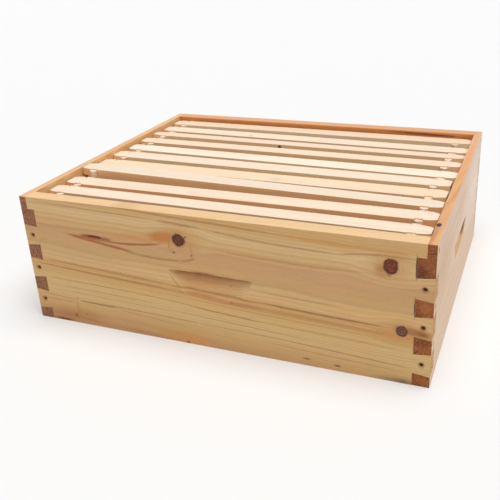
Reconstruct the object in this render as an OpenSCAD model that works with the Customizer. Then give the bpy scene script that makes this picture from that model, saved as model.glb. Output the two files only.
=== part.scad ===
// Ten-frame medium hive box: four dovetailed boards, nailed at the corners, and ten hanging frames.
// Millimetres. The origin is the middle of the box's footprint; X runs along the long boards,
// Y from the front long board to the rear one, and Z up from the bottom rim.

/* [Box] */
// Length of the box over its end boards
box_l = 504.8; // [460:0.1:560]
// Width of the box over its long boards
box_w = 412.8; // [240:0.1:470]
// Height of the box
box_h = 168.3; // [140:0.1:245]
// Thickness of all four boards
board_t = 19.05; // [17:0.05:22]

/* [Frame rest] */
// Width of the ledge that the frame lugs lie on, cut into the end boards
rest_w = 9.5; // [8:0.1:11]
// Depth of the ledge below the top rim
rest_h = 15.9; // [14:0.1:18]

/* [Dovetails] */
// Height of a pin at the outer corner
pin_h = 17; // [12:0.5:22]
// Slope of a pin's two cheeks, in degrees
pin_slope = 7; // [4:0.5:10]
// Distance from one pin to the next
pin_pitch = 45; // [38:0.5:56]
// Centre of the top pin below the top rim
top_pin_drop = 28.4; // [26:0.1:32]
// Glue line left all round a pin
glue_line = 0.1; // [0.05:0.05:0.3]

/* [Hand holds] */
// Depth of the scoop at its top edge
hold_depth = 12; // [8:0.5:14]
// Height over which the scoop runs out
hold_run = 32; // [24:1:40]
// Distance that the cutter travels sideways
hold_travel = 52; // [30:1:90]
// Radius of the cutter
hold_r = 38.1; // [30:0.1:50]
// Top edge of the scoop below the top rim
hold_drop = 70.8; // [60:0.1:80]

/* [Box nails] */
// Diameter of a nail's shank
nail_d = 2.8; // [2:0.1:3.4]
// Diameter of a nail's head
head_d = 4; // [3.6:0.1:5]
// Thickness of a nail's head
head_t = 1.2; // [0.8:0.1:2]
// Length of a nail under its head
nail_l = 48; // [38:1:60]
// Depth of the head's top below the wood
nail_sunk = 1.5; // [0.5:0.1:3]
// Distance from the corner to the line of nails
nail_inset = 10; // [7:0.1:12]
// Highest nail below the top rim
top_nail_drop = 10.3; // [8:0.1:11]
// Room round a nail in its hole
nail_play = 0.1; // [0.05:0.05:0.2]

/* [Frames] */
// Usual width of a top bar
top_bar_w = 25.4; // [24:0.1:27]
// Thickness of a top bar
top_bar_t = 19; // [16:0.1:22]
// Usual thickness of a lug
lug_t = 9.5; // [8:0.1:11]
// How far each edge of a lug curves in on its way to the tip
lug_taper = 3.9; // [2:0.1:6]
// Play between a lug's tip and the box
lug_play = 2.6; // [1:0.1:3]
// Room that a lug keeps above its ledge
seat_gap = 0.15; // [0.1:0.05:0.3]
// Thickness of an end bar
end_bar_t = 9.5; // [8:0.1:12]
// Space between an end bar and the end board
bee_space = 8.5; // [7:0.1:11]
// Width of an end bar over its shoulders
shoulder_w = 34.9; // [33:0.1:35.2]
// Height of the shoulders
shoulder_h = 72; // [50:1:85]
// Width of an end bar below its shoulders
foot_w = 28.6; // [25:0.1:30]
// Depth of the V that is worked on one edge of the shoulders
v_depth = 3; // [1.5:0.1:3]
// Usual width of a top bar's neck, between an end bar's two ears
neck_w = 20.6; // [18:0.1:22]
// Least that an ear lies in the side of a narrow top bar
least_bite = 1.2; // [0.8:0.1:2]
// How far the ears stay below the top bar's upper face
ear_drop = 1.4; // [0.5:0.1:2.5]
// Space left under the frames
bottom_space = 3.2; // [2.4:0.1:6]
// Room round each joint of a frame
frame_play = 0.1; // [0.05:0.05:0.2]

/* [Bottom bars and foundation] */
// Width of a bottom bar
bottom_bar_w = 19; // [14:0.5:22]
// Thickness of a bottom bar
bottom_bar_t = 9.5; // [8:0.1:12]
// Thickness of a foundation sheet
sheet_t = 2.4; // [1.2:0.1:3]
// Depth of the grooves that hold the sheet
groove_d = 4; // [3:0.1:5]
// Play between a sheet and the end bars
sheet_play = 1.5; // [0.5:0.1:4]

/* [Hidden] */
// How each frame happens to lie, from the rear one to the front one. A narrower box holds fewer.
// Room in front of the rear board or of the frame behind, at the shoulders
left_room = [0.4, 0.4, 0.4, 0.4, 1.2, 0.5, 4.3, 2.2, 1.9, 0.4];
right_room = [0.7, 2.6, 0.4, 0.4, 2.3, 0.4, 2.6, 0.4, 1.4, 3.4];
// How much thicker than usual a lug is
left_lug_extra = [1, 0.1, 1.8, 1.4, 1, 1.1, 0.6, 0, -0.1, 0.6];
right_lug_extra = [0.1, -2, 0.1, 0.3, -1.4, 0, -0.3, 0.2, 0.3, 0];
// How much wider than usual a top bar is
width_extra = [-0.7, -0.7, -7.2, -3.4, 0, 0, 2.4, -2.2, 0.2, -1.8];
// How far a left lug is caught above its ledge
left_raise = [0, 0, 0, 0, 0, 0, 0, 7.1, 0, 0];
// How far a frame has slid to the right, as a share of the play at its lugs
slid = [0.2, 0.5, 0.3, 0.1, 0.7, -0.7, -0.4, 0, 0.1, -0.1];

in_l = box_l - 2 * board_t;
in_w = box_w - 2 * board_t;
frame_count = fitting(0);
rest_z = box_h - rest_h;
lug_x = in_l / 2 + rest_w - lug_play;
bar_out_x = in_l / 2 - bee_space;
bar_in_x = bar_out_x - end_bar_t;
end_bar_h = rest_z + lug_t - bottom_space;
groove_w = sheet_t + 2 * frame_play;
pin_grow = board_t * tan(pin_slope);
pin_count = 1 + floor((box_h - top_pin_drop) / pin_pitch);
pin_zs = [for (i = [0:pin_count - 1]) box_h - top_pin_drop - i * pin_pitch];
tail_nail_zs = [for (z = pin_zs) if (z - pin_pitch / 2 > pin_h / 2) z - pin_pitch / 2];
pin_nail_zs = concat([box_h - top_nail_drop], [for (z = pin_zs) if (z > pin_h && z < pin_zs[0]) z]);
past = 1; // how far a cut runs past a face
arc_steps = 8; // steps in a drawn arc
$fn = 64;

function two(i) = str(i < 9 ? "0" : "", i + 1);
function frame_names(i) = [for (piece = FRAME_PIECES) str("frame_", two(i), "_", piece)];
function sum_to(list, i) = i < 0 ? 0 : list[i] + sum_to(list, i - 1);
// Whether frame i still fits between the long boards, and how many frames from i on do
function fits(rooms, i) = i < len(rooms) && sum_to(rooms, i) + (i + 1) * shoulder_w < in_w;
function fitting(i) = fits(left_room, i) && fits(right_room, i) ? fitting(i + 1) : i;
// Place of a frame's middle across the box at one end, from the rooms behind it
function shoulder_y(rooms, i) = in_w / 2 - sum_to(rooms, i) - (i + 0.5) * shoulder_w;
// Width of the neck of one frame's top bar
function neck(i) = min(neck_w, top_bar_w + width_extra[i] - 2 * least_bite);
// Height of a top bar's upper face over its lug
function top_z(extra, raise) = rest_z + seat_gap + lug_t + extra + raise;

BOX_NODES = ["front_board", "rear_board", "left_end_board", "right_end_board", "tail_nails", "pin_nails"];
FRAME_PIECES = ["top_bar", "left_end_bar", "right_end_bar", "bottom_bar", "foundation"];

// ---- box ----

// Profile of the pins at one corner: x from the corner inwards, y up. The top pin keeps to the outer
// strip beside the ledge. grow widens it for the tails' cuts.
module pin_profile(grow) {
    for (i = [0:pin_count - 1]) {
        z = pin_zs[i];
        half = pin_h / 2 + grow;
        slant = pin_grow * (board_t + grow) / board_t;
        in_x = board_t + grow;
        if (i == 0)
            polygon([[-past, z - half], [0, z - half], [in_x, z - half - slant], [in_x, rest_z + grow],
                     [board_t - rest_w + grow, rest_z + grow], [board_t - rest_w + grow, box_h + past],
                     [-past, box_h + past]]);
        else
            polygon([[-past, z - half], [0, z - half], [in_x, z - half - slant], [in_x, z + half + slant],
                     [0, z + half], [-past, z + half]]);
    }
}

// Pins of the left front corner, running past both faces of the long board
module corner_pins(grow) {
    translate([-box_l / 2, past - in_w / 2, 0]) rotate([90, 0, 0])
        linear_extrude(board_t + 2 * past) pin_profile(grow);
}

// What the cutter takes out of a board whose outer face is at y = 0, with the wood behind it
module hand_scoop() {
    tilt = atan(hold_depth / hold_run);
    reach = 2 * hold_run;
    intersection() {
        translate([0, hold_depth, 0]) rotate([-tilt, 0, 0]) translate([0, -hold_r, -reach])
            linear_extrude(2 * reach) {
                for (s = [-1, 1]) translate([s * hold_travel / 2, 0]) circle(hold_r, $fn = 96);
                translate([-hold_travel / 2, 0]) square([hold_travel, hold_r]);
            }
        translate([-box_l / 2, -past, -2 * hold_run]) cube([box_l, board_t, 2 * hold_run]);
    }
}

// A nail whose head points to -Y, with its head's top at y = 0
module nail(play = 0) {
    rotate([-90, 0, 0]) {
        translate([0, 0, -play]) cylinder(d = head_d + 2 * play, h = head_t + 2 * play);
        cylinder(d = nail_d + 2 * play, h = head_t + nail_l + play);
    }
}

// The hole of one nail: its bore and the recess over its head
module nail_hole() {
    nail(nail_play);
    rotate([90, 0, 0]) cylinder(d = head_d + 2 * nail_play, h = nail_sunk + past);
}

// Places a child at every nail through the tails of the long boards
module at_tail_nails() {
    for (sy = [0, 1], sx = [-1, 1], z = tail_nail_zs)
        mirror([0, sy, 0]) translate([sx * (box_l / 2 - nail_inset), nail_sunk - box_w / 2, z]) children();
}

// Places a child at every nail through the pins of the end boards
module at_pin_nails() {
    for (sx = [0, 1], sy = [-1, 1], z = pin_nail_zs)
        mirror([sx, 0, 0]) translate([nail_sunk - box_l / 2, sy * (box_w / 2 - nail_inset), z])
            rotate([0, 0, -90]) children();
}

// Long board on the front side; the rear one is its mirror image
module long_board() {
    difference() {
        translate([-box_l / 2, -box_w / 2, 0]) cube([box_l, board_t, box_h]);
        for (s = [0, 1]) mirror([s, 0, 0]) corner_pins(glue_line);
        translate([0, -box_w / 2, box_h - hold_drop]) hand_scoop();
        at_tail_nails() nail_hole();
        at_pin_nails() nail_hole();
    }
}

// End board on the left side; the right one is its mirror image
module end_board() {
    difference() {
        union() {
            translate([-box_l / 2, -in_w / 2 + glue_line, 0])
                cube([board_t, in_w - 2 * glue_line, box_h]);
            intersection() {
                translate([-box_l / 2, -box_w / 2, 0]) cube([board_t, box_w, box_h]);
                for (s = [0, 1]) mirror([0, s, 0]) corner_pins(0);
            }
        }
        translate([-in_l / 2 - rest_w, -in_w / 2 - past, rest_z])
            cube([rest_w + past, in_w + 2 * past, rest_h + past]);
        translate([-box_l / 2, 0, box_h - hold_drop]) rotate([0, 0, -90]) hand_scoop();
        at_tail_nails() nail_hole();
        at_pin_nails() nail_hole();
    }
}

module front_board() { color("#d9b36f") long_board(); }
module rear_board() { color("#c98d4e") mirror([0, 1, 0]) long_board(); }
module left_end_board() { color("#d69a5c") end_board(); }
module right_end_board() { color("#dfae7c") mirror([1, 0, 0]) end_board(); }
module tail_nails() { color("#5b5048") at_tail_nails() nail(); }
module pin_nails() { color("#5b5048") at_pin_nails() nail(); }

// ---- frames: drawn about the middle of the top bar's upper face ----

// Plan of a lug, from the end bar's outer face to the tip, with both edges curving in
module lug_plan(width) {
    length = lug_x - bar_out_x;
    r = (length * length + lug_taper * lug_taper) / (2 * lug_taper);
    side = [for (k = [0:arc_steps]) let (x = length * k / arc_steps)
        [bar_out_x + x, width / 2 - r + sqrt(r * r - x * x)]];
    mirrored = [for (k = [arc_steps:-1:0]) [side[k][0], -side[k][1]]];
    polygon(concat(side, mirrored));
}

// Lug at the +X end. Its underside slopes up from the end bar and then lies level on the ledge,
// and it is level far enough in for the frame to slide to either side by the play at its lugs.
module lug(width, thickness) {
    slope_end_x = in_l / 2 - lug_play - 2 * seat_gap;
    intersection() {
        translate([0, 0, -top_bar_t]) linear_extrude(top_bar_t) lug_plan(width);
        rotate([90, 0, 0]) translate([0, 0, -width]) linear_extrude(2 * width)
            polygon([[bar_out_x - past, 0], [lug_x + past, 0], [lug_x + past, -thickness],
                     [slope_end_x, -thickness], [bar_out_x, -(thickness + top_bar_t) / 2],
                     [bar_out_x - past, -(thickness + top_bar_t) / 2]]);
    }
}

module top_bar(i) {
    width = top_bar_w + width_extra[i];
    difference() {
        union() {
            translate([-bar_in_x, -width / 2, -top_bar_t]) cube([2 * bar_in_x, width, top_bar_t]);
            translate([-bar_out_x, -neck(i) / 2, -top_bar_t]) cube([2 * bar_out_x, neck(i), top_bar_t]);
            lug(width, lug_t + right_lug_extra[i]);
            mirror([1, 0, 0]) lug(width, lug_t + left_lug_extra[i]);
        }
        translate([-bar_in_x, -groove_w / 2, -top_bar_t - past])
            cube([2 * bar_in_x, groove_w, groove_d + past]);
    }
}

// Outline of an end bar seen from the end: ears and shoulders above, a narrower foot below
module end_bar_outline(slot_w) {
    taper = (shoulder_w - foot_w) / 2;
    difference() {
        polygon([[-shoulder_w / 2, -ear_drop], [shoulder_w / 2, -ear_drop], [shoulder_w / 2, -shoulder_h],
                 [foot_w / 2, -shoulder_h - 2 * taper], [foot_w / 2, -end_bar_h], [-foot_w / 2, -end_bar_h],
                 [-foot_w / 2, -shoulder_h - 2 * taper], [-shoulder_w / 2, -shoulder_h]]);
        translate([-slot_w / 2, -top_bar_t - frame_play])
            square([slot_w, top_bar_t + frame_play + past]);
        translate([-bottom_bar_w / 2 - frame_play, -end_bar_h - past])
            square([bottom_bar_w + 2 * frame_play, bottom_bar_t + frame_play + past]);
    }
}

// Plan of an end bar at the +X end: the front edge of its shoulders is worked to a V
module end_bar_plan() {
    in_x = bar_in_x + frame_play;
    out_x = bar_out_x - frame_play;
    polygon([[in_x, shoulder_w / 2], [out_x, shoulder_w / 2], [out_x, v_depth - shoulder_w / 2],
             [(in_x + out_x) / 2, -shoulder_w / 2], [in_x, v_depth - shoulder_w / 2]]);
}

module end_bar(i) {
    intersection() {
        translate([0, 0, -end_bar_h]) linear_extrude(end_bar_h) end_bar_plan();
        translate([bar_in_x - past, 0, 0]) rotate([90, 0, 90])
            linear_extrude(end_bar_t + 2 * past) end_bar_outline(neck(i) + 2 * frame_play);
    }
}

module bottom_bar() {
    groove_z = bottom_bar_t - end_bar_h - groove_d;
    difference() {
        translate([-bar_out_x, -bottom_bar_w / 2, -end_bar_h])
            cube([2 * bar_out_x, bottom_bar_w, bottom_bar_t]);
        translate([-bar_in_x, -groove_w / 2, groove_z]) cube([2 * bar_in_x, groove_w, groove_d + past]);
    }
}

// The sheet stands in the bottom bar's groove and its top edge lies in the top bar's groove
module foundation() {
    half_l = bar_in_x - sheet_play;
    foot_z = bottom_bar_t - end_bar_h - groove_d + frame_play;
    head_z = -top_bar_t + groove_d - sheet_play;
    translate([-half_l, -sheet_t / 2, foot_z]) cube([2 * half_l, sheet_t, head_z - foot_z]);
}

module frame_piece(piece, i) {
    if (piece == "top_bar") color("#f2dcb8") top_bar(i);
    if (piece == "left_end_bar") color("#ecd0a6") mirror([1, 0, 0]) end_bar(i);
    if (piece == "right_end_bar") color("#ecd0a6") end_bar(i);
    if (piece == "bottom_bar") color("#efd5ad") bottom_bar();
    if (piece == "foundation") color("#e3b552") foundation();
}

// Lays a frame where it hangs, turned in plan and tilted from end to end
module hang(i) {
    left_y = shoulder_y(left_room, i);
    right_y = shoulder_y(right_room, i);
    left_z = top_z(left_lug_extra[i], left_raise[i]);
    right_z = top_z(right_lug_extra[i], 0);
    turn = atan((right_y - left_y) / (2 * bar_out_x));
    tilt = -atan((right_z - left_z) / (2 * lug_x));
    translate([slid[i] * lug_play, (left_y + right_y) / 2, (left_z + right_z) / 2])
        rotate([0, 0, turn]) rotate([0, tilt, 0]) children();
}

front_board();
rear_board();
left_end_board();
right_end_board();
tail_nails();
pin_nails();
for (i = [0:frame_count - 1], piece = FRAME_PIECES)
    hang(i) frame_piece(piece, i);
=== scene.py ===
"""Looks of a ten-frame medium hive box: boards, nails, hanging frames and a plain studio.

Meshes are in metres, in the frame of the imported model: X runs along the long boards, Y from the
front long board to the rear one, and Z up from the bottom rim. Finishes are in millimetres.
"""
import logging
import math
import random
from collections.abc import Callable, Iterable, Sequence
from dataclasses import dataclass, field, replace
from enum import Enum

import bmesh
import bpy
from mathutils import Matrix, Vector


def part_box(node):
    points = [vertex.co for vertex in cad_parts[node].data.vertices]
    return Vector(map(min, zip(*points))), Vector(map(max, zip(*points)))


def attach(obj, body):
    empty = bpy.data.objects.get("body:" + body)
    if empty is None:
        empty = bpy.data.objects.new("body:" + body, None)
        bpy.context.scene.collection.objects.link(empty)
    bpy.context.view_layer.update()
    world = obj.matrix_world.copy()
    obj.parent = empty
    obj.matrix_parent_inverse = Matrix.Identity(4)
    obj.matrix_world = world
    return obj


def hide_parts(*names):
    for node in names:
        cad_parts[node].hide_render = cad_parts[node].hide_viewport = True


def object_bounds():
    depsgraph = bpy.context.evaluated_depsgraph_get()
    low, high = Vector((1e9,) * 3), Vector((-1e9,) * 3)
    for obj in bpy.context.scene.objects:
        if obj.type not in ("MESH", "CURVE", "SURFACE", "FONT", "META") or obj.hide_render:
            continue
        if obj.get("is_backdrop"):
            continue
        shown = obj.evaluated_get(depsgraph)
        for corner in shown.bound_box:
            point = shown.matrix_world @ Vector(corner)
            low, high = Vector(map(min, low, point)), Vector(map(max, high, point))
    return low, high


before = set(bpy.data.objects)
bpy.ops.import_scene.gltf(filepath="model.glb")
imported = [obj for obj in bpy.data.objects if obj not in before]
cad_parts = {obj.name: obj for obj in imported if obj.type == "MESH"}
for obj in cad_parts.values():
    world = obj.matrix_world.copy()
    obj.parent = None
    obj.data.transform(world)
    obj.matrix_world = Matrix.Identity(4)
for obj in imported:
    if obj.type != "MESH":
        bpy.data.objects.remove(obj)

log = logging.getLogger("hive_box")

MM = 0.001
FRAME_COUNT = 10
Tint = tuple[float, float, float]
Number = "float | Signal"


# ---- shader expressions ----


class Signal:
    """A shader value that takes part in Python arithmetic."""

    def __init__(self, sheet: "NodeSheet", socket: bpy.types.NodeSocket) -> None:
        """Wraps an output socket of a sheet."""
        self.sheet = sheet
        self.socket = socket

    def math(self, operation: str, *others: "Number") -> "Signal":
        """Adds one Math node that has this value as its first input."""
        return self.sheet.math(operation, self, *others)

    def __add__(self, other: "Number") -> "Signal":
        """Sum."""
        return self.math("ADD", other)

    def __radd__(self, other: "Number") -> "Signal":
        """Reflected sum."""
        return self.math("ADD", other)

    def __sub__(self, other: "Number") -> "Signal":
        """Difference."""
        return self.math("SUBTRACT", other)

    def __rsub__(self, other: "Number") -> "Signal":
        """Reflected difference."""
        return self.sheet.math("SUBTRACT", other, self)

    def __mul__(self, other: "Number") -> "Signal":
        """Product."""
        return self.math("MULTIPLY", other)

    def __rmul__(self, other: "Number") -> "Signal":
        """Reflected product."""
        return self.math("MULTIPLY", other)

    def __truediv__(self, other: "Number") -> "Signal":
        """Quotient."""
        return self.math("DIVIDE", other)

    def __rtruediv__(self, other: "Number") -> "Signal":
        """Reflected quotient."""
        return self.sheet.math("DIVIDE", other, self)

    def root(self) -> "Signal":
        """Square root."""
        return self.math("SQRT")

    def size(self) -> "Signal":
        """Absolute value."""
        return self.math("ABSOLUTE")

    def part(self) -> "Signal":
        """Fraction after the point."""
        return self.math("FRACT")

    def whole(self) -> "Signal":
        """Whole number below."""
        return self.math("FLOOR")

    def square(self) -> "Signal":
        """Value times itself."""
        return self.math("MULTIPLY", self)

    def line(self, slope: float, base: "Number") -> "Signal":
        """Value times a slope, plus a base."""
        return self.math("MULTIPLY_ADD", slope, base)

    def length(self) -> "Signal":
        """Length of a vector."""
        return self.sheet.add("ShaderNodeVectorMath", {"operation": "LENGTH"}, {0: self}, "Value")

    def step(self, low: float, high: float, start: float = 0.0, end: float = 1.0) -> "Signal":
        """Smooth change from one value to another.

        Args:
            low: Where the change begins.
            high: Where it ends.
            start: Value up to low.
            end: Value from high on.

        Returns:
            The changed value.
        """
        settings = {"interpolation_type": "SMOOTHSTEP"}
        inputs = {"Value": self, "From Min": low, "From Max": high, "To Min": start, "To Max": end}
        return self.sheet.add("ShaderNodeMapRange", settings, inputs, "Result")

    def fall(self, reach: float, peak: float = 1.0) -> "Signal":
        """Smooth fall from a peak at 0 to nothing at reach."""
        return self.step(0.0, reach, peak, 0.0)


class Grain(Enum):
    """Way of a piece's fibres, as the order of its axes along, through and across the grain."""

    LENGTHWISE = (0, 1, 2)
    CROSSWISE = (1, 0, 2)
    UPRIGHT = (2, 0, 1)


class NodeSheet:
    """The node tree of one material, written as expressions."""

    def __init__(self, name: str) -> None:
        """Starts an empty material.

        Args:
            name: Name of the material.
        """
        self.material = bpy.data.materials.new(name)
        self.material.use_nodes = True
        self.tree = self.material.node_tree
        self.tree.nodes.clear()

    def add(self, kind: str, settings: dict[str, object], inputs: dict[object, object],
            out: object = 0) -> Signal:
        """Adds a node of any type.

        Args:
            kind: Type of the node.
            settings: Attributes that are set before the inputs; "stops" holds a ramp's stops.
            inputs: Values or signals by input name or number.
            out: Name or number of the output that is returned.

        Returns:
            The chosen output.
        """
        node = self.tree.nodes.new(kind)
        for key, value in settings.items():
            if key == "stops":
                self._set_stops(node.color_ramp, value)
            else:
                setattr(node, key, value)
        for key, value in inputs.items():
            if isinstance(value, Signal):
                self.tree.links.new(value.socket, node.inputs[key])
            else:
                node.inputs[key].default_value = value
        return Signal(self, node.outputs[out])

    @staticmethod
    def _set_stops(ramp: bpy.types.ColorRamp, stops: Sequence[tuple[float, Tint]]) -> None:
        """Gives a ramp its stops.

        Args:
            ramp: The ramp.
            stops: Position and colour of each stop.
        """
        while len(ramp.elements) < len(stops):
            ramp.elements.new(1.0)
        for element, (position, tint) in zip(ramp.elements, stops):
            element.position = position
            element.color = (*tint, 1.0)

    def math(self, operation: str, *values: "Number") -> Signal:
        """Adds one Math node."""
        return self.add("ShaderNodeMath", {"operation": operation}, dict(enumerate(values)))

    def vector(self, x: "Number", y: "Number", z: "Number") -> Signal:
        """Joins three values to a vector."""
        return self.add("ShaderNodeCombineXYZ", {}, {"X": x, "Y": y, "Z": z})

    def noise(self, place: Signal, scale: float, detail: float, rough: float = 0.5) -> Signal:
        """Cloudy noise round 0.5 at a place.

        Args:
            place: Vector at which the noise is read.
            scale: Factor on the vector.
            detail: Octaves of finer noise.
            rough: Strength of the finer octaves.

        Returns:
            The noise value.
        """
        inputs = {"Vector": place, "Scale": scale, "Detail": detail, "Roughness": rough}
        return self.add("ShaderNodeTexNoise", {}, inputs, "Fac")

    def cloud(self, place: Sequence["Number"], kind: "Cloud") -> Signal:
        """Cloudy noise round 0.5 in the wood.

        Args:
            place: Position along, through and across the grain.
            kind: Form of the clouds.

        Returns:
            The noise value.
        """
        vector = self.vector(*[part / length for part, length in zip(place, kind.lengths)])
        return self.noise(vector, 1.0, kind.detail, kind.rough)

    def mix(self, share: "Number", first: object, second: object, blend: str = "MIX") -> Signal:
        """Mixes two colours.

        Args:
            share: How much of the second colour there is.
            first: Colour or signal that shows at 0.
            second: Colour or signal that shows at 1.
            blend: Way of mixing.

        Returns:
            The mixed colour.
        """
        settings = {"data_type": "RGBA", "blend_type": blend, "clamp_factor": True}
        colours = {6: first, 7: second}
        for key, value in colours.items():
            if not isinstance(value, Signal):
                colours[key] = (*value, 1.0)
        return self.add("ShaderNodeMix", settings, {0: share, **colours}, 2)

    def tone(self, colour: object, shade: Signal) -> Signal:
        """Darkens or lightens a colour by a grey factor."""
        return self.mix(1.0, colour, self.vector(shade, shade, shade), "MULTIPLY")

    def around(self, place: Signal, middle: Sequence[float], reach: Sequence[float]) -> Signal:
        """How far a place lies from the middle of a mark on the wood, one at the mark's edge.

        Args:
            place: Vector of along, across and through.
            middle: Middle of the mark, in the same order.
            reach: Half sizes of the mark.

        Returns:
            The distance.
        """
        scale = [1.0 / r for r in reach]
        shift = [-m / r for m, r in zip(middle, reach)]
        inputs = {0: place, 1: scale, 2: shift}
        near = self.add("ShaderNodeVectorMath", {"operation": "MULTIPLY_ADD"}, inputs)
        return near.length()

    def axis(self, vector: Signal, name: str) -> Signal:
        """One coordinate of a vector."""
        return self.add("ShaderNodeSeparateXYZ", {}, {0: vector}, name)

    def bump(self, height: Signal, strength: float, distance: float) -> Signal:
        """Surface normal that a height in the wood gives."""
        inputs = {"Height": height, "Strength": strength, "Distance": distance}
        return self.add("ShaderNodeBump", {}, inputs)

    def close(self, **sockets: object) -> bpy.types.Material:
        """Ends the sheet with its surface shader.

        Args:
            **sockets: Values and signals of the shader's sockets, with underscores for spaces.

        Returns:
            The finished material.
        """
        inputs = {key.replace("_", " "): value for key, value in sockets.items()}
        surface = self.add("ShaderNodeBsdfPrincipled", {}, inputs)
        end = self.tree.nodes.new("ShaderNodeOutputMaterial")
        self.tree.links.new(surface.socket, end.inputs["Surface"])
        return self.material


# ---- finishes, in millimetres along, through and across the grain ----


# Depth of a mark that shows all the way through a board.
FAR = 1e6


@dataclass(frozen=True)
class Cloud:
    """Form of a noise in the wood, by its lengths along, through and across the grain."""

    lengths: tuple[float, float, float]
    detail: float = 2.0
    rough: float = 0.5


# The grain as a whole, and the growth rings in it.
SWAY = Cloud((140.0, 80.0, 45.0))
WANDER = Cloud((260.0, 1.0, 22.0))
# Single fibres and resin flecks on a planed face, and open cells on a cut end.
FIBRE = Cloud((14.0, 0.8, 0.8), 3.0, 0.65)
FLECK = Cloud((5.0, 0.9, 0.9), 1.0)
CELLS = Cloud((5.0, 0.8, 0.8), 3.0, 0.7)
# Unevenness of stains and veins, of cut ends, and inside and round a knot.
PATCHY = Cloud((12.0, 1.0, 3.0), 3.0, 0.7)
BLOTCH = Cloud((3.5, 1.0, 3.5), 3.0, 0.7)
GRIT = Cloud((1.9, 1.0, 1.9), 4.0, 0.7)
WOBBLE = Cloud((9.0, 1.0, 9.0), 1.0)


@dataclass(frozen=True)
class Knot:
    """A round knot that passes through a board, with the grain flowing round it.

    Attributes:
        tall: Height of the knot as a share of its width.
        halo: Strength of the stain and the ripple round it.
        push: Share of a place's distance by which the grain there moves aside.
    """

    along: float
    across: float
    radius: float
    tall: float = 1.0
    heart: Tint = (0.112, 0.020, 0.005)
    core: Tint = (0.205, 0.050, 0.015)
    stain: Tint = (0.60, 0.29, 0.10)
    ripple: Tint = (0.36, 0.16, 0.07)
    grit: Tint = (0.34, 0.12, 0.048)
    crack: Tint = (0.045, 0.014, 0.01)
    bark: Tint = (0.06, 0.02, 0.012)
    halo: float = 0.5
    push: float = 0.6


@dataclass(frozen=True)
class Vein:
    """A dark line of late wood or resin, or a painted shadow line, that runs from start to end and
    rises from low to high.

    Attributes:
        bow: How far the middle of the line lies from the straight way.
    """

    start: float
    low: float
    end: float
    high: float
    width: float
    strength: float
    tint: Tint = (0.42, 0.20, 0.07)
    bow: float = 0.0


@dataclass(frozen=True)
class Patch:
    """A soft-edged stain, or a soft patch of painted shade or painted light.

    Attributes:
        reach: How far from its middle it has half its strength, along the grain.
        width: The same across the grain.
        through: Depth in the board round which it lies, or None for every depth.
        depth: The same as reach, through the board.
        rise: How steeply it rises along the grain.
    """

    along: float
    across: float
    reach: float
    width: float
    tint: Tint
    strength: float
    through: float | None = None
    depth: float = 6.0
    rise: float = 0.0


@dataclass(frozen=True)
class Spot:
    """A small round mark, on every face or round one depth in the board."""

    along: float
    across: float
    radius: float
    tint: Tint = (0.10, 0.05, 0.035)
    strength: float = 0.8
    through: float | None = None


@dataclass(frozen=True)
class WoodFinish:
    """Planed, unpainted softwood with its growth rings as a field in the solid board.

    Attributes:
        pith: Where the middle of the rings lies, through and across the grain.
        pitch: Distance of the rings.
        slope: How steeply the grain rises along the board.
        drift: How far the grain sways.
        side: Tint of the faces that look through the board; on the top bars it is painted bounce
            light and shade for the gaps between them.
        rim: Tint of the faces that look across the grain.
        bands: Heights in the board, each with the tint that the wood has there.
        end_marks: Stains that show on the cut ends alone.
    """

    name: str
    grain: Grain
    pale: Tint
    warm: Tint
    late: Tint
    end: Tint
    pith: tuple[float, float]
    pitch: float = 3.2
    slope: float = 0.0
    drift: float = 3.0
    ring_share: float = 0.55
    warm_share: float = 0.6
    warm_reach: float = 110.0
    warm_width: float = 9.0
    fibre_share: float = 0.16
    fleck_share: float = 0.35
    roughness: float = 0.50
    side: Tint | None = None
    side_share: float = 1.0
    rim: Tint | None = None
    rim_share: float = 0.85
    end_relief: float = 0.6
    end_grey: float = 0.3
    bands: tuple[tuple[float, Tint], ...] = ()
    knots: tuple[Knot, ...] = ()
    veins: tuple[Vein, ...] = ()
    patches: tuple[Patch, ...] = ()
    spots: tuple[Spot, ...] = ()
    end_marks: tuple[Patch, ...] = ()

    def build(self) -> bpy.types.Material:
        """Makes the material."""
        return Timber(self).build()


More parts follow.
